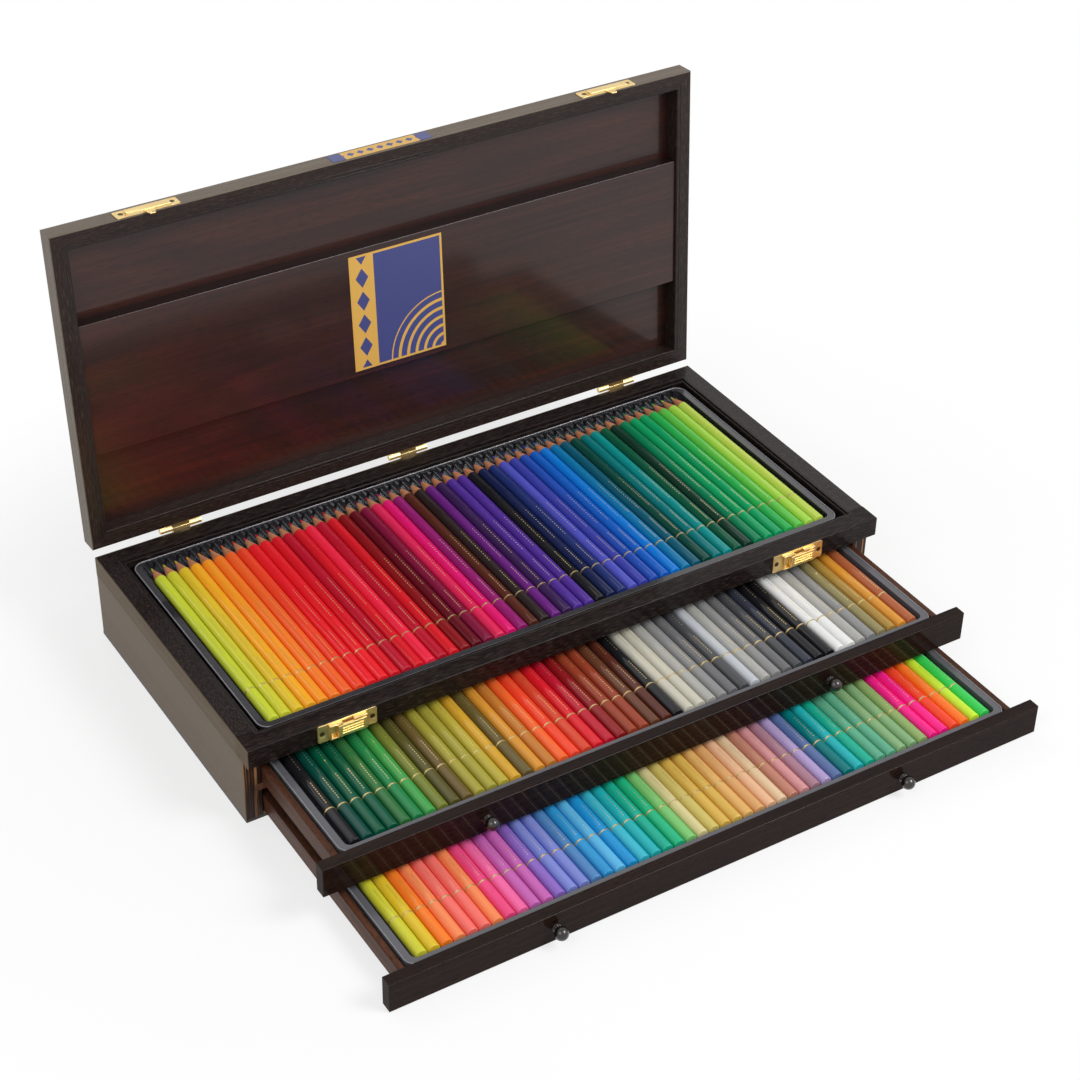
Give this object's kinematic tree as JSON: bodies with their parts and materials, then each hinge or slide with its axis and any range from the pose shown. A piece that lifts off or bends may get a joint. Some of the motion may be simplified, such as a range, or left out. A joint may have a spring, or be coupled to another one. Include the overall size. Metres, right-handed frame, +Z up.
{
  "type": "pencil drawer box",
  "caption": "Flat dark wooden pencil box with an open top tray of coloured pencils under a stop-hinged lid, two full-width drawers of pencils with turned knobs, and brass slide latches.",
  "frame": {"origin": "centre of the case's length and depth on its underside", "axes": "+X along the long side to the right, +Y to the back where the lid is hinged, +Z up; at rest the lid is on its open stop and both drawers are part way out"},
  "size_m": [0.46, 0.4287, 0.2874],
  "materials": {
    "dark_wood": "espresso stain, satin, open grain",
    "gloss_lacquer": "espresso stain under gloss lacquer",
    "drawer_wood": "thin reddish brown stain, satin",
    "brass": "pressed and polished",
    "screw_brass": "darkened, slotted",
    "smoky_plastic": "thin smoky thermoformed sheet",
    "pencil_lacquer": "gloss paint in many colours, bare wood cone",
    "printed_card": "printed, satin"
  },
  "bodies": {
    "case": {"case_bottom": "dark_wood", "case_left_side": "dark_wood", "case_right_side": "dark_wood", "case_back": "dark_wood", "tray_shelf": "dark_wood", "lower_runners": "drawer_wood", "upper_runners": "drawer_wood", "front_rail": "dark_wood", "back_rail": "dark_wood", "left_rail": "dark_wood", "right_rail": "dark_wood", "top_tray": "smoky_plastic", "top_tray_pencils": "pencil_lacquer", "hinge_case_leaves": "brass", "hinge_pins": "brass", "hinge_case_screws": "screw_brass", "case_latch_plates": "brass", "case_latch_screws": "screw_brass"},
    "lid": {"lid_front_member": "dark_wood", "lid_back_member": "dark_wood", "lid_left_member": "dark_wood", "lid_right_member": "dark_wood", "lid_top_panel": "dark_wood", "lid_centre_board": "dark_wood", "lid_card": "printed_card", "lid_edge_card": "printed_card", "hinge_lid_leaves": "brass", "hinge_lid_screws": "screw_brass", "lid_latch_plates": "brass", "lid_latch_screws": "screw_brass"},
    "upper_drawer": {"upper_drawer_front": "gloss_lacquer", "upper_drawer_left_side": "drawer_wood", "upper_drawer_right_side": "drawer_wood", "upper_drawer_back": "drawer_wood", "upper_drawer_floor": "drawer_wood", "upper_drawer_tray": "smoky_plastic", "upper_drawer_tray_pencils": "pencil_lacquer", "upper_drawer_knobs": "gloss_lacquer", "upper_drawer_knob_screws": "screw_brass"},
    "lower_drawer": {"lower_drawer_front": "gloss_lacquer", "lower_drawer_left_side": "drawer_wood", "lower_drawer_right_side": "drawer_wood", "lower_drawer_back": "drawer_wood", "lower_drawer_floor": "drawer_wood", "lower_drawer_tray": "smoky_plastic", "lower_drawer_tray_pencils": "pencil_lacquer", "lower_drawer_knobs": "gloss_lacquer", "lower_drawer_knob_screws": "screw_brass"},
    "latch_slider_left": {"latch_slider_left": "brass"},
    "latch_slider_right": {"latch_slider_right": "brass"}
  },
  "joints": [
    {"name": "lid_hinge", "type": "hinge", "parent": "case", "child": "lid", "pos_m": [0, 0.1126, 0.0628], "axis": [1, 0, 0], "range_deg": [0, 93.8]},
    {"name": "upper_drawer_slide", "type": "slide", "parent": "case", "child": "upper_drawer", "axis": [0, -1, 0], "range_m": [-0.0926, 0.08]},
    {"name": "lower_drawer_slide", "type": "slide", "parent": "case", "child": "lower_drawer", "axis": [0, -1, 0], "range_m": [-0.1684, 0.005]},
    {"name": "left_latch_slide", "type": "slide", "parent": "case", "child": "latch_slider_left", "axis": [-1, 0, 0], "range_m": [0, 0.0036]},
    {"name": "right_latch_slide", "type": "slide", "parent": "case", "child": "latch_slider_right", "axis": [-1, 0, 0], "range_m": [0, 0.0036]}
  ]
}
